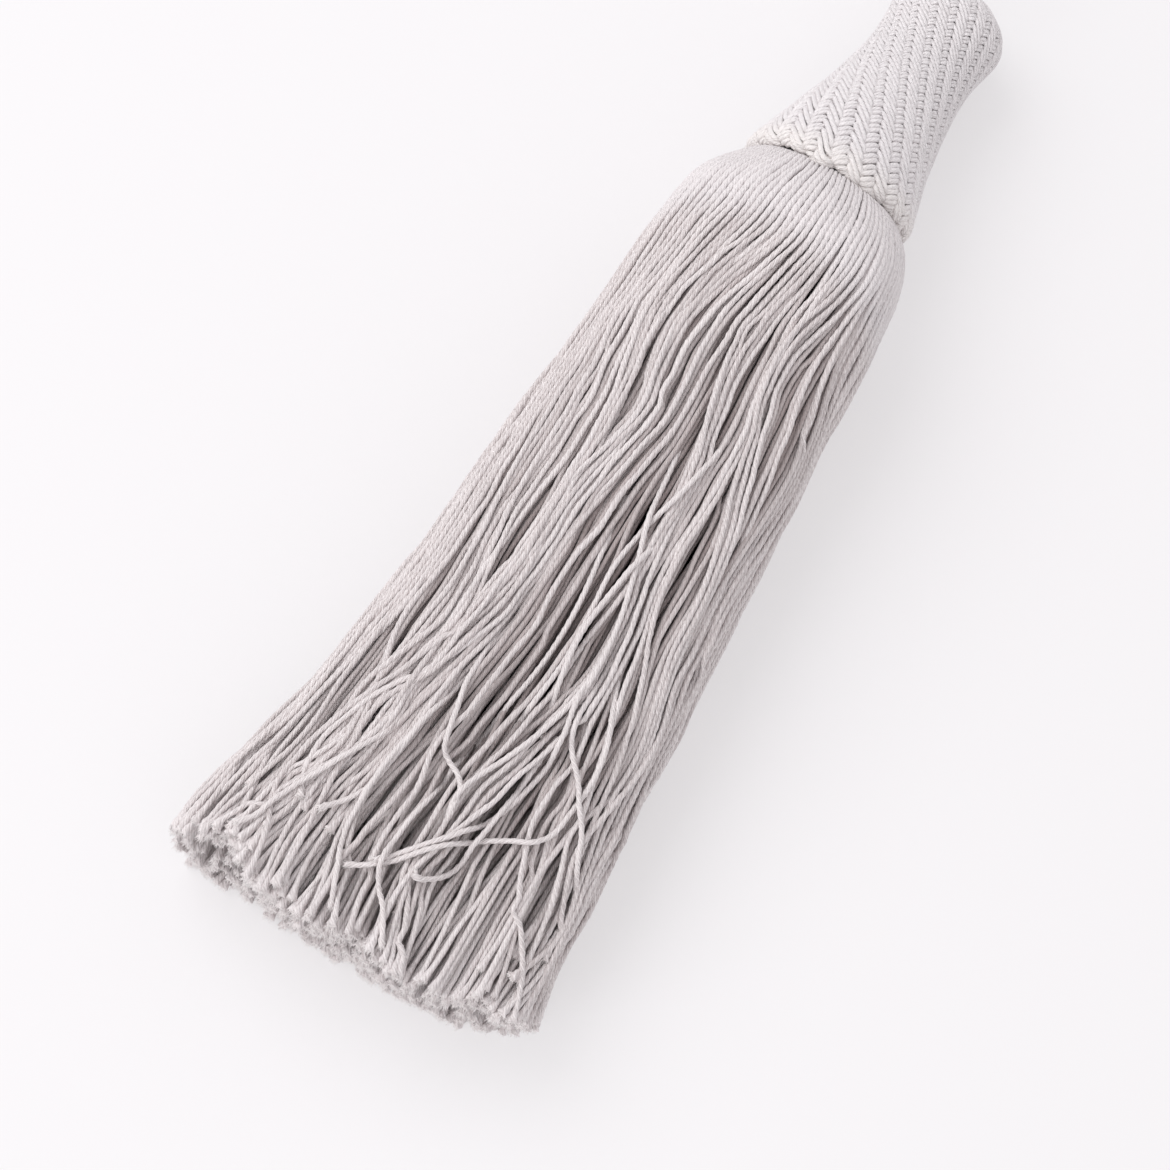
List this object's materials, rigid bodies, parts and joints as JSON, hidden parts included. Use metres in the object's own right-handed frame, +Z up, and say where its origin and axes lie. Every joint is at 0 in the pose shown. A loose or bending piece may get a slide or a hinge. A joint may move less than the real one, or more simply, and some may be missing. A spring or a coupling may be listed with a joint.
{
  "type": "curtain tieback tassel",
  "caption": "Curtain tieback tassel lying on its side: a waisted head in braided cotton over a full skirt of cut cotton yarns.",
  "frame": {"origin": "centre of the tassel's box, on the surface that it lies on", "axes": "+Y along the tassel from its cut end towards its head, +Z up from the surface, +X across it"},
  "size_m": [0.0648, 0.1936, 0.0343],
  "materials": {
    "braid": "matt braided cotton, pale warm grey",
    "yarn": "matt twisted cotton yarn, pale grey"
  },
  "bodies": {
    "root": {"braided_head": "braid", "skirt": "yarn"}
  },
  "joints": []
}
